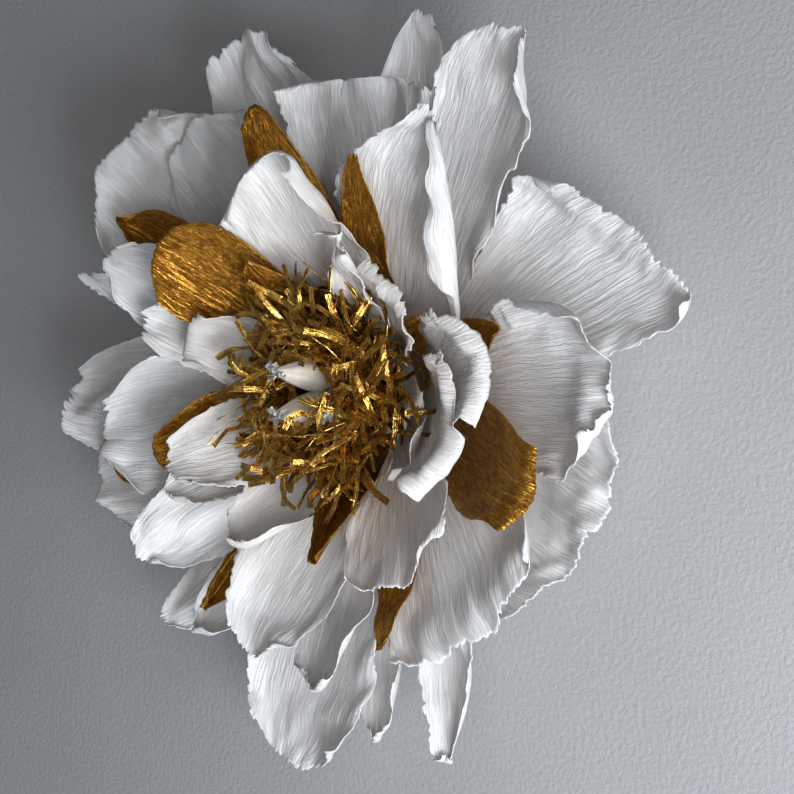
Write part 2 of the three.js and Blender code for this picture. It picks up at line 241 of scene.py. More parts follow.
def gold_crepe(name, dark, bright, roughness, depth, shaded_foot=False):
    material, output, start = new_material(name)
    ridges, wide, patch = crepe_heights(start)
    flat = start.node("ShaderNodeUVMap", uv_map="UVMap")
    grain = flat.scaled(1.0, 0.6).noise(750.0, 2.0, 0.6)
    flecks = flat.scaled(1.0, 0.5).noise(360.0, 3.0, 0.7).ramp(0.46, 0.62)
    height = ridges * 0.45 + wide * 0.5 + grain * 0.2 + flecks * 0.15
    # painted glints in the flecks and painted shade in the creases, over the coat's own patchy tone
    glints_crease_shade_and_patches = flecks * 0.35 + ridges * 0.3 + patch.ramp(0.35, 0.68) * 0.35
    colour = glints_crease_shade_and_patches.colours(dark, bright)
    # painted shade towards the foot of the fringe, near the wall
    if shaded_foot:
        off_wall = {0: start.object_place(), 1: (0.0, -1.0, 0.0)}
        lift = start.node("ShaderNodeVectorMath", off_wall, output="Value", operation="DOT_PRODUCT")
        colour = lift.ramp(FOOT_SHADE_LOW, FOOT_SHADE_HIGH).colours(FOOT_SHADE_BROWN, colour)
    inputs = {
        "Base Color": colour,
        "Metallic": 0.9,
        "Roughness": grain.ramp(0.3, 0.7, roughness - 0.1, roughness + 0.14),
        "Normal": height.bump(depth),
    }
    surface(start, output, start.node("ShaderNodeBsdfPrincipled", inputs))
    return material


# %% Make the papers
WHITE = white_crepe()
GOLD = gold_crepe("gold_crepe", GOLD_BROWN_AND_SHADE, GOLD_BRIGHT_AND_GLINT, 0.33, 1.7 * MM)
FRINGE = gold_crepe("gold_fringe", FRINGE_BROWN_AND_SHADE, FRINGE_BRIGHT_AND_GLINT, 0.24, 0.5 * MM, shaded_foot=True)
print("papers", WHITE.name, GOLD.name, FRINGE.name)

# %% [markdown]
# ## A petal's surface, from its CAD solid
# A CAD petal is a thin sheet with the same grid of points in front and behind. Each point's partner
# is its nearest neighbour, and the pair's middle lies on the middle surface. The root row is the
# row nearest the flower's axis; walking round the rim from there, and then filling in row by row,
# gives every point its place in the grid. The petals' shapes could be written out again here, but
# read back from the CAD they can't drift from it.

# %% A CAD solid's points
GRID_ROWS = 8
GRID_COLS = 7
WELD = 0.002 * MM  # points closer than this are one


def solid_of(node):
    """A CAD node's separate points and its triangles."""
    mesh = node.data
    points = np.empty(len(mesh.vertices) * 3)
    mesh.vertices.foreach_get("co", points)
    points = points.reshape(-1, 3)
    mesh.calc_loop_triangles()
    triangles = np.array([t.vertices[:] for t in mesh.loop_triangles])
    merged, index = np.unique(np.round(points / WELD).astype(int), axis=0, return_inverse=True)
    return merged * WELD, index.reshape(-1)[triangles]


# %% Its middle surface
def paired_points(node):
    """Middles of the facing pairs of points, each one's neighbours, and its neighbours in the rim."""
    points, triangles = solid_of(node)
    apart = np.linalg.norm(points[:, None] - points[None], axis=2)
    np.fill_diagonal(apart, 1.0)
    partner = apart.argmin(1)
    middle = np.minimum(np.arange(len(points)), partner)
    near = {int(m): set() for m in middle}
    rim = {int(m): set() for m in middle}
    for triangle in triangles:
        ids = sorted({int(m) for m in middle[triangle]})
        for a in ids:
            near[a].update(b for b in ids if b != a)
        if len(ids) == 2:
            rim[ids[0]].add(ids[1])
            rim[ids[1]].add(ids[0])
    place = {m: (points[m] + points[partner[m]]) / 2 for m in near}
    return place, near, rim


def middle_grid(node):
    """The middle surface of a CAD petal as a grid: rows from root to tip, columns across."""
    place, near, rim = paired_points(node)
    loop = [m for m in rim if rim[m]]
    root = set(sorted(loop, key=lambda m: np.linalg.norm(place[m]))[:GRID_COLS])
    ends = [m for m in root if len(rim[m] & root) == 1]
    walk = [ends[0]]
    step = next(iter(rim[ends[0]] & root))
    while step != ends[0]:
        walk.append(step)
        step = next(m for m in rim[step] if m != walk[-2])
    grid = np.full((GRID_ROWS, GRID_COLS), -1)
    right = GRID_COLS - 1 + GRID_ROWS - 1
    tip = right + GRID_COLS - 1
    grid[0] = walk[:GRID_COLS]
    grid[:, -1] = walk[GRID_COLS - 1 : right + 1]
    grid[-1] = walk[right : tip + 1][::-1]
    grid[1:-1, 0] = walk[tip + 1 :][::-1]
    used = set(grid[grid >= 0].tolist())
    for i in range(1, GRID_ROWS - 1):
        for j in range(1, GRID_COLS - 1):
            found = (near[int(grid[i - 1, j])] & near[int(grid[i, j - 1])]) - used
            grid[i, j] = found.pop()
            used.add(int(grid[i, j]))
    sheet = np.array([[place[int(m)] for m in row] for row in grid])
    along = sheet[-1, GRID_COLS // 2] - sheet[0, GRID_COLS // 2]
    across = sheet[GRID_ROWS // 2, -1] - sheet[GRID_ROWS // 2, 0]
    if np.cross(along, across)[1] > 0:
        sheet = sheet[:, ::-1]
    return sheet


# %% [markdown]
# ## Reading between the grid's points
# Cubic curves through the grid's points give the smooth surface. A Subdivision Surface modifier
# would smooth it too, but it can't say where a given place on the flat paper ends up. A little
# beyond the edges the surface carries on, so a cut edge may stand just outside the CAD outline.


# %% Curves through points
def with_ends(values):
    """Values with one more at each end, carried on straight."""
    return np.concatenate([2 * values[:1] - values[1:2], values, 2 * values[-1:] - values[-2:-1]])


def curve(a, b, c, d, t):
    """The smooth curve from b (t = 0) to c (t = 1) that looks at a before and d behind."""
    return 0.5 * (2 * b + (c - a) * t + (2 * a - 5 * b + 4 * c - d) * t**2 + (3 * b - a - 3 * c + d) * t**3)


def cubic(values, x):
    """Rows of values, read at fractional places x along the first axis."""
    start = np.clip(np.floor(x).astype(int), 0, len(values) - 2)
    padded = with_ends(values)
    t = (x - start)[..., None]
    return curve(*(padded[start + k] for k in range(4)), t)


def read_surface(grid, u, v):
    """Points of the surface at u (0 root, 1 tip) and v (-1 to 1 across), arrays of one shape."""
    rows, cols = grid.shape[:2]
    y = np.clip(u, 0, 1.06) * (rows - 1)
    x = (np.clip(v, -1.1, 1.1) + 1) / 2 * (cols - 1)
    columns = np.stack([cubic(grid[:, k], y) for k in range(cols)]).reshape(cols, -1, 3)
    padded = with_ends(columns)
    first = np.clip(np.floor(x).astype(int), 0, cols - 2).ravel()
    t = (x.ravel() - first)[:, None]
    each = np.arange(columns.shape[1])
    out = curve(*(padded[first + k, each] for k in range(4)), t)
    return out.reshape(u.shape + (3,))


def surface_normals(grid, u, v):
    e = 0.01
    du = read_surface(grid, u + e, v) - read_surface(grid, u - e, v)
    dv = read_surface(grid, u, v + e) - read_surface(grid, u, v - e)
    normal = np.cross(du, dv)
    return normal / np.maximum(np.linalg.norm(normal, axis=1), 1e-12)[:, None]


# %% Seeded waves
def waves(x, y, seed, octaves=2):
    """Smooth seeded noise, about -1 to 1, with features about one unit wide."""
    random = np.random.default_rng(seed)
    total = np.zeros(np.broadcast(x, y).shape)
    for octave in range(octaves):
        for _ in range(4):
            angle, phase = random.uniform(0, 2 * math.pi, 2)
            k = 2.0**octave * random.uniform(2.2, 4.2)
            total += 0.5**octave * np.sin(k * (x * math.cos(angle) + y * math.sin(angle)) + phase)
    return total / 3.2


def smooth(x, low, high):
    """0 up to low, 1 from high, and an easy slope between."""
    t = np.clip((x - low) / (high - low), 0, 1)
    return t * t * (3 - 2 * t)


# %% [markdown]
# ## Room around each sheet
# Paper petals rest on one another and never pass through. Rays sent out from both faces of a CAD
# sheet find its nearest neighbours, and each sheet may then lift through half of that gap. Cloth
# simulation could settle the sheets too, but it is slow and would lose the petals' own shapes.

# %% Every solid, as one tree for rays
ROOM_ROWS, ROOM_COLS = 26, 18  # rays are sent from a grid of this size
FAR = 60 * MM  # further neighbours don't matter
SKIN = 0.5 * MM  # rays start this far outside the middle surface


def all_solids():
    """Every CAD node's triangles as one tree to cast rays at, and the node each belongs to."""
    points, faces, owners, start = [], [], [], 0
    for name in nodes:
        found, triangles = solid_of(nodes[name])
        points.append(found)
        faces.append(triangles + start)
        owners += [name] * len(triangles)
        start += len(found)
    tree = BVHTree.FromPolygons(np.concatenate(points).tolist(), np.concatenate(faces).tolist())
    return tree, owners


SOLIDS, OWNERS = all_solids()
print(len(OWNERS), "CAD triangles to keep clear of")


# %% The room on each side of a sheet
def free_way(start, direction, own):
    """How far a ray goes from start before it meets a solid other than its own sheet."""
    gone = 0.0
    while gone < FAR:
        place = start + direction * gone
        _, _, face, distance = SOLIDS.ray_cast(place, direction, FAR - gone)
        if face is None:
            return FAR
        if OWNERS[face] != own:
            return gone + distance
        gone += distance + 0.2 * MM
    return FAR


def room(grid, side, own):
    """Half of the free distance from the sheet along its normal (side +1) or against it (-1)."""
    u, v = np.meshgrid(np.linspace(0, 1, ROOM_ROWS), np.linspace(-1, 1, ROOM_COLS), indexing="ij")
    base = read_surface(grid, u.ravel(), v.ravel())
    normal = side * surface_normals(grid, u.ravel(), v.ravel())
    free = []
    for place, direction in zip(base, normal):
        to_wall = -place[1] / direction[1] if direction[1] > 0.1 else FAR
        distance = free_way(Vector(place + direction * SKIN), Vector(direction), own)
        free.append(min(distance, max(to_wall - SKIN, 0)))
    free = np.array(free).reshape(ROOM_ROWS, ROOM_COLS)
    padded = np.pad(free, 1, mode="edge")
    windows = [padded[i : i + ROOM_ROWS, j : j + ROOM_COLS] for i in range(3) for j in range(3)]
    return SKIN / 2 + np.minimum.reduce(windows) / 2


def room_at(limits, u, v):
    """The limits read between their grid's points."""
    y = np.clip(u, 0, 1) * (ROOM_ROWS - 1)
    x = (np.clip(v, -1, 1) + 1) / 2 * (ROOM_COLS - 1)
    i, j = np.minimum(y.astype(int), ROOM_ROWS - 2), np.minimum(x.astype(int), ROOM_COLS - 2)
    a, b = y - i, x - j
    low = limits[i, j] * (1 - b) + limits[i, j + 1] * b
    high = limits[i + 1, j] * (1 - b) + limits[i + 1, j + 1] * b
    return low * (1 - a) + high * a


def within(height, up, down):
    """Heights held softly between the room below and the room above."""
    return np.where(height > 0, up * np.tanh(height / up), down * np.tanh(height / down))


# %% [markdown]
# ## How each petal was curled
# A curl is a roll of the paper's edge over a rod: the direction in which the edge lies (degrees
# from the tip, positive anticlockwise as the flower is seen from the front), the depth of paper
# taken up from the furthest point in that direction (mm), the rod's radius (mm), and +1 for a
# roll towards the viewer or -1 for one towards the wall. A Simple Deform modifier can roll a
# sheet as well, but only about one of its own axes, and these rolls lie at every angle.

# %% The list of curls
CURLS = {
    "petal_right_fan": [(52, 18, 5, 1), (-52, 14, 8, 1)],
    "petal_ne_tall": [(-55, 12, 9, 1)],
    "petal_top_point": [(75, 20, 8, 1), (-60, 8, 6, -1)],
    "petal_n_centre": [(4, 12, 4, 1), (-98, 12, 9, 1)],
    "petal_n_left": [(50, 14, 6, 1), (-30, 8, 7, -1)],
    "petal_nw_broad": [(-48, 20, 7, 1), (44, 18, 6, 1)],
    "petal_n_second": [(-20, 12, 9, -1)],
    "petal_w_tongue": [(10, 14, 8, 1), (-80, 8, 7, 1)],
    "petal_w_low": [(34, 12, 8, 1)],
    "petal_sw_long": [(-12, 14, 8, 1)],
    "petal_sw_fold": [(8, 15, 5, 1)],
    "petal_s_ragged": [(15, 10, 8, 1), (-90, 8, 8, 1)],
    "petal_s_thin": [(0, 12, 3.5, 1), (95, 8, 6, 1)],
    "petal_s_long": [(0, 14, 4.5, 1)],
    "petal_s_broad": [(66, 16, 7, 1), (-100, 16, 8, 1)],
    "petal_se_wide": [(30, 20, 7, 1), (80, 12, 6, 1)],
    "petal_e_curl": [(-6, 12, 6, 1), (84, 15, 6, 1)],
    "petal_ne_rolled": [(-72, 34, 9, 1), (30, 8, 7, -1)],
    "petal_n_inner": [(-80, 22, 9, 1), (14, 26, 7, 1)],
    "petal_n_hook": [(0, 18, 8, -1)],
    "petal_ne_heart": [(30, 15, 6, 1)],
    "petal_e_inner": [(-8, 24, 9, -1)],
    "petal_se_inner": [(-8, 27, 10, -1)],
    "petal_s_middle": [(-88, 12, 6, 1), (30, 10, 9, -1)],
    "petal_wnw_inner": [(18, 13, 7, 1)],
    "petal_w_second": [(-20, 12, 7, 1)],
    "petal_w_heart": [(0, 12, 8, -1), (80, 8, 6, 1)],
    "petal_w_flap": [(40, 15, 6, 1), (-70, 10, 6, 1)],
    "petal_wsw_heart": [(-80, 9, 7, 1)],
    "petal_sw_tip": [(14, 13, 4, 1)],
    "petal_sw_inner": [(0, 10, 6, 1)],
    "petal_sw_heart": [(-16, 12, 6, 1)],
    "petal_ssw_inner": [(12, 10, 6, 1)],
    "petal_s_curl": [(-12, 20, 6, 1), (-95, 12, 6, 1)],
    "gold_e_long": [(4, 17, 12, -1)],
    "gold_nw_thin": [(0, 20, 16, 1)],
    "gold_e_heart": [(0, 30, 14, -1)],
    "gold_w_low": [(0, 14, 9, 1)],
    "gold_w_inner": [(-70, 12, 9, 1)],
    "gold_s_long": [(20, 12, 12, 1)],
}
print(len(CURLS), "petals with rolled edges")


# %% Rolling an edge
def rolled(p, q, curls):
    """Flat places (p along, q across) once the edges are rolled, and each one's height."""
    height = np.zeros_like(p)
    flat_p, flat_q = p, q
    for direction, depth, radius, side in curls:
        a = math.radians(direction)
        outward = flat_p * math.cos(a) + flat_q * math.sin(a)
        beyond = np.maximum(outward - outward.max() + depth * MM, 0)
        size = radius * MM
        turned = beyond / size
        tight = size * (1 - 0.055 * np.minimum(turned, 6))  # the roll winds slowly inwards
        back = beyond - tight * np.sin(turned)
        p = p - back * math.cos(a)
        q = q - back * math.sin(a)
        height += side * (size - tight * np.cos(turned))
    return p, q, height


# %% [markdown]
# ## Making one petal
# A real petal is cut, stretched at the rim until it ruffles, and rolled. Here a primitive grid is
# laid out in flat paper coordinates: s runs from the root to the tip and t across. Its edge is
# cut ragged, its edges are rolled, and it is lifted on to the petal's surface. Ruffles grow
# towards the rim, to either side, as far as there is room. Solidify then gives the thickness.
# Sculpting could give finer folds, but it can't be repeated petal by petal from a few numbers.


# %% The cut edge
def cut_edge(s, t, length, halves, ragged, seed):
    """Where the paper is left: u along, v across, and the half width at each point."""
    widest = halves.max()
    lobes = waves(t * widest / (26 * MM), t * 0, seed + 1)
    jags = waves(t * widest / (4.5 * MM), s * 0 + 3.3, seed + 2)
    tip_cut = ragged * MM * (0.9 * lobes + 0.9 * np.abs(jags) + 0.6) / length
    u = s * (1 - tip_cut * smooth(s, 0.55, 1.0))
    side_lobes = waves(s * length / (34 * MM), np.sign(t) * 2.0, seed + 3)
    side_jags = waves(s * length / (6 * MM), np.sign(t) * 5.0, seed + 4)
    half = cubic(halves[:, None], u * (GRID_ROWS - 1))[:, 0]
    side_cut = ragged * MM * (0.6 * side_lobes + 0.65 * np.abs(side_jags)) / np.maximum(half, 6 * MM)
    side_cut = np.clip(side_cut, -0.05, 0.35)
    v = t * (1 - side_cut * smooth(np.abs(t), 0.6, 1.0) * smooth(s, 0.15, 0.4))
    return u, v, half


# %% Ruffles and wrinkles
def ruffled(height, s, t, p, q, grain, seed, ruffle, wrinkle):
    """Heights with the ruffles along the rim and the wide wrinkles added."""
    rim = np.maximum(smooth(np.abs(t), 0.45, 1.0), smooth(s, 0.6, 1.0)) * smooth(s, 0.12, 0.5)
    big = waves(p / (36 * MM), q / (26 * MM), seed + 5)
    small = waves(q / (13 * MM), p / (22 * MM), seed + 6)
    folds = waves(grain / PITCH * 1.7, p / (34 * MM), seed + 7)
    height += ruffle * MM * rim * (0.6 + big)
    height += 0.3 * ruffle * MM * rim * rim * small
    height += wrinkle * MM * folds * smooth(s, 0.02, 0.2)
    return height


# %% A sheet of paper
def paper_grid(name, length, widest):
    """A primitive grid fine enough for the petal, and s and t at its points."""
    rows = max(int(length / ALONG), 24)
    cols = max(int(2 * widest / ACROSS), 14)
    bpy.ops.mesh.primitive_grid_add(x_subdivisions=cols, y_subdivisions=rows, size=2)
    piece = bpy.context.object
    piece.name = piece.data.name = name
    co = np.empty(len(piece.data.vertices) * 3)
    piece.data.vertices.foreach_get("co", co)
    co = co.reshape(-1, 3)
    return piece, (co[:, 1] + 1) / 2, co[:, 0]


def lay_uv(mesh, flat):
    """The UV map set to each point's place on the flat paper."""
    uv = mesh.uv_layers.get("UVMap") or mesh.uv_layers.new(name="UVMap")
    loops = np.empty(len(mesh.loops), int)
    mesh.loops.foreach_get("vertex_index", loops)
    uv.data.foreach_set("uv", flat[loops].ravel())
    mesh.update()


def thicken(piece):
    bpy.ops.object.shade_smooth()
    thick = piece.modifiers.new("paper", "SOLIDIFY")
    thick.thickness = PAPER
    thick.offset = 0
    bpy.ops.object.modifier_apply(modifier="paper")


# %% A whole petal
def make_petal(name, material, seed, ruffle, ragged, wrinkle):
    """One petal; ruffle, ragged and wrinkle are depths in mm."""
    grid = middle_grid(nodes[name])
    length = np.linalg.norm(np.diff(grid[:, GRID_COLS // 2], axis=0), axis=1).sum()
    halves = np.linalg.norm(np.diff(grid, axis=1), axis=2).sum(1) / 2
    widest = halves.max()
    piece, s, t = paper_grid(name.replace("petal_", "white_") + "_sheet", length, widest)
    u, v, half = cut_edge(s, t, length, halves, ragged, seed)
    p, q = u * length, v * half
    grain = v * (0.45 * half + 0.55 * widest)  # wrinkles run nearly parallel, not to the root
    p_rolled, q_rolled, height = rolled(p, q, CURLS.get(name, []))
    u_rolled = p_rolled / length
    half_rolled = cubic(halves[:, None], np.clip(u_rolled, 0, 1) * (GRID_ROWS - 1))[:, 0]
    v_rolled = q_rolled / np.maximum(half_rolled, 2 * MM)
    height = ruffled(height, s, t, p, q, grain, seed, ruffle, wrinkle)
    up, down = (room_at(room(grid, side, name), u_rolled, v_rolled) for side in (1, -1))
    base = read_surface(grid, u_rolled, v_rolled)
    normal = surface_normals(grid, u_rolled, v_rolled)
    out = base + normal * within(height, up, down)[:, None]
    piece.data.vertices.foreach_set("co", out.ravel())
    lay_uv(piece.data, np.stack([grain, p], 1))
    thicken(piece)
    piece.data.materials.append(material)
    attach(piece, "root")
    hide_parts(name)
    piece.select_set(False)
    return piece


# %% All the petals
petals = []
for seed, name in enumerate(sorted(n for n in nodes if n.startswith(("petal_", "gold_")))):
    if name.startswith("gold_"):
        petals.append(make_petal(name, GOLD, 40 * seed, ruffle=1.6, ragged=1.2, wrinkle=0.14))
    else:
        petals.append(make_petal(name, WHITE, 40 * seed, ruffle=5.0, ragged=3.8, wrinkle=0.26))
print(len(petals), "petals", sum(len(p.data.polygons) for p in petals), "faces")

# %% [markdown]
# ## Gold fringe
# Each rolled fringe is a wound strip with its free edge cut into many narrow strips. Hair
# particles could stand for them, but each cut strip has two flat faces that glint, so it is made
# as a flat ribbon of its own, bent and twisted at random, that starts on the roll's foot. The
# foot's place and size come from the CAD node's points nearest the wall.

# %% Strips
STRIPS = 70  # to a fringe
STRIP_W = 3.3 * MM
STRIP_T = 0.3 * MM
STEPS = 11  # bends along a strip
PODS_R = 19 * MM  # the strips keep out of the middle, where the pods stand
CLEAR = 48 * MM  # from this height off the wall
WAIST = 30 * MM  # strips further from the axis than this are pushed back,
WAIST_HIGH = 44 * MM  # though they may spread out above this height
FOOT_RISE = 6 * MM  # the strips start this far above the foot's bottom


def ribbon(path, sides, width, thickness):
    """A flat closed ribbon through path; sides gives the direction of its width at each point."""
    path = np.array(path)
    axis = np.gradient(path, axis=0)
    axis /= np.linalg.norm(axis, axis=1)[:, None]
    sides = sides - (sides * axis).sum(1)[:, None] * axis
    sides /= np.linalg.norm(sides, axis=1)[:, None]
    face = np.cross(axis, sides)
    w, h = width / 2, thickness / 2
    corners = [path + sides * w * a + face * h * b for a, b in ((1, 1), (-1, 1), (-1, -1), (1, -1))]
    points = np.stack(corners, 1).reshape(-1, 3)
    faces = [(3, 2, 1, 0)]
    for k in range(len(path) - 1):
        for c in range(4):
            a, b = 4 * k + c, 4 * k + (c + 1) % 4
            faces.append((a, b, b + 4, a + 4))
    last = 4 * (len(path) - 1)
    faces.append((last, last + 1, last + 2, last + 3))
    run = np.concatenate([[0], np.cumsum(np.linalg.norm(np.diff(path, axis=0), axis=1))])
    flat = [((c in (0, 3)) * width, run[k]) for k in range(len(path)) for c in range(4)]
    return points, faces, flat


# %% Many small shapes as one piece
def mesh_piece(name, parts, material, node):
    """One object from several (points, faces, flat places) parts, standing for a CAD node."""
    bpy.ops.mesh.primitive_cube_add()
    piece = bpy.context.object
    piece.name = piece.data.name = name
    mesh = piece.data
    points, faces, flat, start = [], [], [], 0
    for part_points, part_faces, part_flat in parts:
        points.append(part_points)
        faces += [tuple(i + start for i in face) for face in part_faces]
        flat += list(part_flat)
        start += len(part_points)
    mesh.clear_geometry()
    mesh.from_pydata(np.concatenate(points), [], faces)
    mesh.materials.append(material)
    lay_uv(mesh, np.array(flat, float))
    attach(piece, "root")
    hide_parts(node)
    piece.select_set(False)
    return piece


# %% One strip's way
def steer(place, share, kink, bend, top, random):
    """How a strip turns at a place: its bend, a kink, and pushes that keep it in the fringe."""
    push = bend * 0.1 * (0.3 + 2.4 * share)
    if abs(share - kink) < 0.06:
        push = push * 3.5 + random.normal(0, 0.4, 3)
    off_axis = np.array([place[0], 0, place[2]])
    wide = np.linalg.norm(off_axis)
    if wide < PODS_R and -place[1] > CLEAR:
        push += 0.6 * off_axis / wide
    if wide > WAIST + 0.8 * max(-place[1] - WAIST_HIGH, 0):
        push -= 0.5 * off_axis / wide
    if -place[1] > top - 4 * MM:
        push += np.array([0, 0.6, 0])
    return push


def strip(foot, radius, top, away, side, random):
    """One ribbon of a fringe, from its foot outwards."""
    out = np.array([0, -1.0, 0])
    ring = math.sqrt(random.uniform(0.05, 1))
    turn = random.uniform(0, 2 * math.pi)
    place = away * math.cos(turn) + side * math.sin(turn)
    start = foot + place * ring * radius * 0.9 + out * FOOT_RISE
    heading = out + place * ring * 0.3 + away * random.uniform(0, 0.6)
    heading += random.normal(0, 0.13, 3)
    length = (top + foot[1]) * random.uniform(0.6, 1.2)
    bend = random.normal(0, 1.0, 3) * (1.0, 0.4, 1.0)
    kink = random.uniform(0.4, 0.85)
    path, direction = [start], heading / np.linalg.norm(heading)
    for i in range(STEPS):
        direction = direction + steer(path[-1], i / STEPS, kink, bend, top, random)
        direction /= np.linalg.norm(direction)
        path.append(path[-1] + direction * length / STEPS)
    twist = random.uniform(0, 2 * math.pi)
    turns = twist + np.linspace(0, random.normal(0, 0.9), len(path))
    sides = np.outer(np.cos(turns), side) + np.outer(np.sin(turns), away)
    width = STRIP_W * random.uniform(0.75, 1.2)
    points, faces, flat = ribbon(path, sides, width, STRIP_T)
    shift = random.uniform(0, 1.5, 2)  # each strip takes its own patch of the gold's colours
    return points, faces, np.array(flat) + shift


# %% A whole fringe
def wound_foot(foot, radius, away, side):
    """The uncut part of the strip, as a spiral of paper."""
    out = np.array([0, -1.0, 0])
    spiral = np.linspace(0, 7 * math.pi, 70)
    grow = radius * (0.25 + 0.7 * spiral / spiral[-1])
    winding = foot + np.outer(grow * np.cos(spiral), away) + np.outer(grow * np.sin(spiral), side)
    return ribbon(winding + out * 5.5 * MM, np.tile(out, (len(spiral), 1)), 10 * MM, STRIP_T)


def make_fringe(number, seed):
    node = f"fringe_{number}"
    random = np.random.default_rng(seed)
    points, _ = solid_of(nodes[node])
    base = points[points[:, 1] > points[:, 1].max() - 1 * MM]
    foot = base.mean(0)
    radius = np.linalg.norm(base - foot, axis=1).max()
    top = -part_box(node)[0].y
    away = np.array([foot[0], 0, foot[2]])
    away /= np.linalg.norm(away)
    side = np.cross(away, (0, -1.0, 0))
    parts = [strip(foot, radius, top, away, side, random) for _ in range(STRIPS)]
    parts.append(wound_foot(foot, radius, away, side))
    return mesh_piece(f"gold_fringe_{number}", parts, FRINGE, node)


fringes = [make_fringe(number, 900 + number) for number in range(1, 9)]
print(len(fringes), "fringes", sum(len(f.data.polygons) for f in fringes), "faces")

# %% [markdown]
# ## Pods
# The pods are smooth paper shells, each gathered to a point with scraps of crumpled silver paper
# at its tip. They stand as the CAD pods do, and their height is read from that node. A lathed
# profile, with Spin or the Screw modifier, would give the body, but not the gathers at the tip,
# so the rings of points are worked out here.

# %% Pod finishes
PODS = [(97, 3, 1.0), (263, 6, 0.98), (325, 20, 0.76)]  # direction, lean (degrees), size
POD_R = 9.2 * MM
POD_FOOT_R = 6.5 * MM  # how far from the axis each pod's foot is
POD_RISE = 4 * MM  # the shells start this far above the CAD pods' foot
RINGS, SPOKES = 26, 28
GATHERS = 7
SCRAPS = 9


def pod_material():
    material, output, start = new_material("pod_paper")
    place = start.object_place()
    fibre = place.scaled(1.0, 0.25, 1.0).noise(420.0, 3.0, 0.55)
    cloud = place.noise(60.0, 2.0)
    shade = fibre * 0.35 + cloud * 0.65
    inputs = {
        "Base Color": shade.ramp(0.3, 0.7).colours((0.42, 0.39, 0.32, 1.0), (0.66, 0.62, 0.53, 1.0)),
        "Roughness": 0.55,
        "Normal": (fibre * 0.5 + cloud * 0.5).bump(0.6 * MM, 0.7),
        "Subsurface Weight": 0.15,
        "Subsurface Scale": 0.01,
    }
    surface(start, output, start.node("ShaderNodeBsdfPrincipled", inputs))
    return material


def silver_material():
    material, output, start = new_material("silver_scraps")
    grain = start.object_place().noise(700.0, 2.0)
    inputs = {
        "Base Color": grain.ramp(0.3, 0.7).colours((0.2, 0.22, 0.225, 1.0), (0.55, 0.575, 0.58, 1.0)),
        "Metallic": 0.35,
        "Roughness": 0.45,
        "Normal": grain.bump(0.5 * MM, 0.8),
    }
    surface(start, output, start.node("ShaderNodeBsdfPrincipled", inputs))
    return material


POD = pod_material()
SILVER = silver_material()
print("finishes", POD.name, SILVER.name)


# %% One pod
def pod_shell(foot, axis, across, side, reach, size):
    """A pod as rings of points that swell, narrow, and are gathered towards the tip."""
    points, faces, flat = [], [], []
    for i in range(RINGS + 1):
        s = i / RINGS
        r = POD_R * size * (math.sin(math.pi * min(s * 0.86 + 0.16, 1)) ** 0.9 + 0.1)
        for k in range(SPOKES):
            t = 2 * math.pi * k / SPOKES
            gather = 1 + 0.09 * smooth(np.array(s), 0.55, 1.0) * math.cos(GATHERS * t + 3 * s)
            outward = (across * math.cos(t) + side * math.sin(t)) * r * gather
            points.append(foot + axis * s * reach * size + outward)
            flat.append((r * gather * t, s * reach))
    for i in range(RINGS):
        for k in range(SPOKES):
            p, q = i * SPOKES + k, i * SPOKES + (k + 1) % SPOKES
            faces.append((p, p + SPOKES, q + SPOKES, q))
    faces.append(tuple(range(SPOKES)))
    faces.append(tuple(range(RINGS * SPOKES, (RINGS + 1) * SPOKES))[::-1])
    return np.array(points), faces, flat


def scrap(tip, axis, across, side, random):
    """One short crumpled ribbon at a pod's tip."""
    turn = random.uniform(0, 2 * math.pi)
    spread = across * math.cos(turn) + side * math.sin(turn)
    path, heading = [tip - axis * 2 * MM], axis + spread * 0.9
    for _ in range(5):
        heading = heading + random.normal(0, 0.4, 3)
        heading /= np.linalg.norm(heading)
        path.append(path[-1] + heading * 1.5 * MM)
    sides = np.tile(np.cross(axis, spread), (len(path), 1)) + random.normal(0, 0.3, (len(path), 3))
    return ribbon(path, sides, 2.9 * MM, 0.25 * MM)


# %% All the pods
def make_pods():
    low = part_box("pods")[1].y
    high = -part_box("pods")[0].y
    reach = high + low - POD_RISE
    shells, scraps = [], []
    random = np.random.default_rng(77)
    for direction, lean, size in PODS:
        a, tilt = math.radians(direction), math.radians(lean)
        away = np.array([math.cos(a), 0, math.sin(a)])
        side = np.array([-math.sin(a), 0, math.cos(a)])
        axis = away * math.sin(tilt) + np.array([0, -math.cos(tilt), 0])
        across = np.cross(side, axis)
        foot = away * POD_FOOT_R + np.array([0, low - POD_RISE, 0])
        shells.append(pod_shell(foot, axis, across, side, reach, size))
        tip = foot + axis * reach * size * 0.97
        scraps += [scrap(tip, axis, across, side, random) for _ in range(SCRAPS)]
    shell = mesh_piece("pod_shells", shells, POD, "pods")
    shell.select_set(True)
    bpy.context.view_layer.objects.active = shell
    bpy.ops.object.shade_smooth()
    shell.select_set(False)
    return shell, mesh_piece("pod_scraps", scraps, SILVER, "pods")


pod_pieces = make_pods()
print(len(PODS), "pods", sum(len(p.data.polygons) for p in pod_pieces), "faces")

# %% [markdown]
# ## Backing disc and core
# The petals are glued round a card core on a card disc. Both are plain shapes that hardly show,
# so they keep their CAD solids instead of being modelled again, and get a card with fibres.


# %% Card
def card_material():
    material, output, start = new_material("backing_card")
    place = start.object_place()
    fibre = place.noise(350.0, 4.0, 0.65)
    flecks = place.noise(1500.0, 1.0)
    shade = fibre * 0.7 + flecks * 0.3
    inputs = {
        "Base Color": shade.ramp(0.35, 0.65).colours((0.4, 0.36, 0.29, 1.0), (0.55, 0.5, 0.42, 1.0)),
        "Roughness": 0.9,
        "Normal": shade.bump(0.4 * MM, 0.8),
    }
    surface(start, output, start.node("ShaderNodeBsdfPrincipled", inputs))
    return material


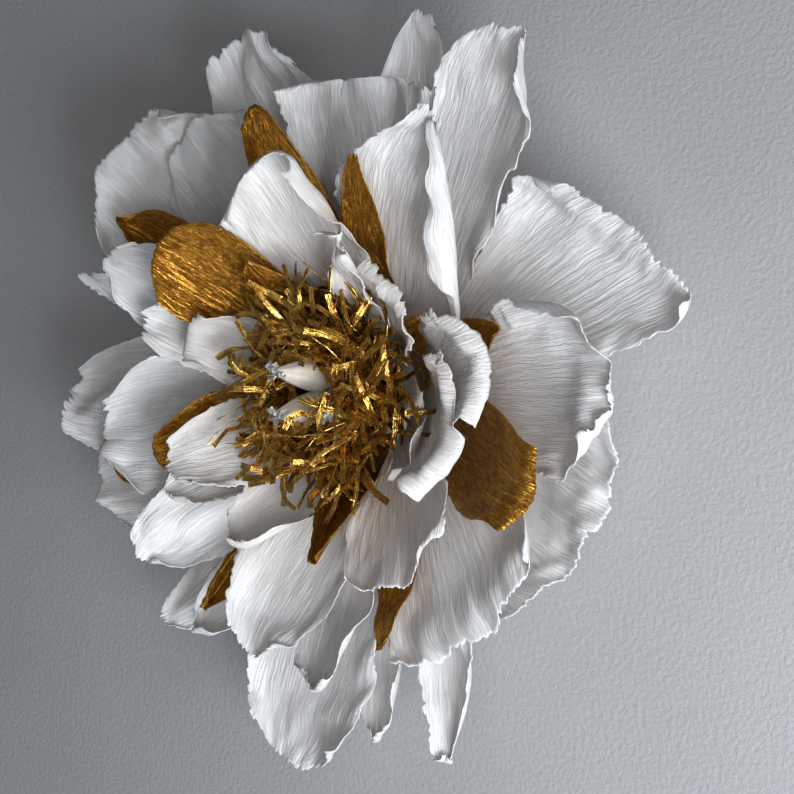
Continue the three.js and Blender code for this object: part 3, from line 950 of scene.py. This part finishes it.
CARD = card_material()
for name in ("backing_disc", "core"):
    for slot in nodes[name].material_slots:
        slot.material = CARD
print("card on the backing disc and the core")

# %% [markdown]
# ## Wall and floor
# The flower hangs on a pale painted wall with a roller's stipple, above a plain pale floor. A wall
# could hide whatever looks at it from behind. This one is clear from there and casts no shadow,
# so the flower's back can be seen and lit too.

# %% Wall and floor
FLOOR = -1.1
WALL_GAP = 0.6 * MM  # keeps the wall just behind the disc
WALL_SIZE = 6


def wall_material():
    material, output, start = new_material("painted_wall")
    place = start.object_place()
    roller = place.noise(330.0, 3.0, 0.6)
    cloud = place.noise(6.0, 2.0)
    inputs = {
        "Base Color": cloud.ramp(0.3, 0.7).colours((0.36, 0.363, 0.366, 1.0), (0.39, 0.393, 0.396, 1.0)),
        "Roughness": 0.6,
        "Normal": roller.bump(1.2 * MM, 0.55),
    }
    paint = start.node("ShaderNodeBsdfPrincipled", inputs)
    clear = start.node("ShaderNodeBsdfTransparent")
    behind = start.node("ShaderNodeNewGeometry", output="Backfacing")
    surface(start, output, start.node("ShaderNodeMixShader", {0: behind, 1: paint, 2: clear}))
    return material


def floor_material():
    material, output, start = new_material("pale_floor")
    cloud = start.object_place().noise(4.0, 3.0)
    inputs = {
        "Base Color": cloud.ramp(0.3, 0.7).colours((0.62, 0.62, 0.62, 1.0), (0.68, 0.68, 0.68, 1.0)),
        "Roughness": 0.7,
    }
    surface(start, output, start.node("ShaderNodeBsdfPrincipled", inputs))
    return material


def stage_plane(name, size, location, rotation, material):
    bpy.ops.mesh.primitive_plane_add(size=size, location=location, rotation=rotation)
    plane = bpy.context.object
    plane.name = plane.data.name = name
    plane.data.materials.append(material)
    plane.select_set(False)
    return plane


WALL_PLACE = (0, WALL_GAP, FLOOR + WALL_SIZE / 2)
wall = stage_plane("wall", WALL_SIZE, WALL_PLACE, (math.pi / 2, 0, 0), wall_material())
wall.visible_shadow = False
floor = stage_plane("floor", 8, (0, 0, FLOOR), (0, 0, 0), floor_material())
print("stage:", wall.name, floor.name)

# %% [markdown]
# ## Light
# A soft light stands low on the right, as a window would, and its slanting light draws out the
# crepe's relief. One light would leave the heart black, so a wide weak one fills the shade, and
# another, behind the wall, is for the flower's back. The rest is a dim even sky.

# %% Lights and sky
COOL = (0.91, 0.95, 1.0)
NEAR_WHITE = (0.97, 0.985, 1.0)
SKY = (0.8, 0.82, 0.84, 1.0)
SKY_STRENGTH = 0.12


def soft_light(name, place, target, size, power, colour):
    """A square area light of a size (m) and power (W), at a place and turned to a target."""
    bpy.ops.object.light_add(type="AREA", location=place)
    light = bpy.context.object
    light.name = light.data.name = name
    light.data.size = size
    light.data.energy = power
    light.data.color = colour
    aim = Vector(target) - Vector(place)
    light.rotation_euler = aim.to_track_quat("-Z", "Y").to_euler()
    light.select_set(False)
    return light


window = soft_light("window", (1.0, -0.54, -0.48), (0.05, -0.05, -0.05), 0.6, 21, COOL)
fill = soft_light("fill", (1.2, -1.6, -0.3), (0.1, 0, -0.1), 1.4, 10, COOL)
behind = soft_light("back", (-0.9, 1.8, 0.5), (0, 0, 0), 2.0, 22, NEAR_WHITE)
print("lights:", window.name, fill.name, behind.name)

world = bpy.data.worlds.new("soft_world")
bpy.context.scene.world = world
world.use_nodes = True
background = world.node_tree.nodes["Background"]
background.inputs["Color"].default_value = SKY
background.inputs["Strength"].default_value = SKY_STRENGTH

# %% [markdown]
# ## Camera
# The camera looks at the flower from its right, forty degrees off its axis and level with it, and
# near enough for the petals to overlap as they do at arm's length. A longer lens from further
# off would flatten the heart. The Standard view keeps the white paper white.

# %% Camera
CAMERA_TURN = math.radians(40)
CAMERA_AWAY = 0.95
LENS, SENSOR = 71.8, 36
SHIFT_RIGHT = 2.4 * MM  # small shifts that centre the flower in the view
SHIFT_DOWN = 4.2 * MM
LOOK_DEPTH = 12 * MM

bpy.context.scene.view_settings.view_transform = "Standard"
right = Vector((math.cos(CAMERA_TURN), math.sin(CAMERA_TURN), 0))
back = Vector((math.sin(CAMERA_TURN), -math.cos(CAMERA_TURN), 0))
look_at = Vector((0, -LOOK_DEPTH, -SHIFT_DOWN)) + right * SHIFT_RIGHT
bpy.ops.object.camera_add(location=look_at + back * CAMERA_AWAY)
camera = bpy.context.object
camera.name = "camera"
camera.rotation_euler = (-back).to_track_quat("-Z", "Y").to_euler()
camera.data.lens = LENS
camera.data.sensor_width = SENSOR
camera.select_set(False)
bpy.context.scene.camera = camera
print("camera", CAMERA_AWAY, "m away, lens", LENS, "mm")
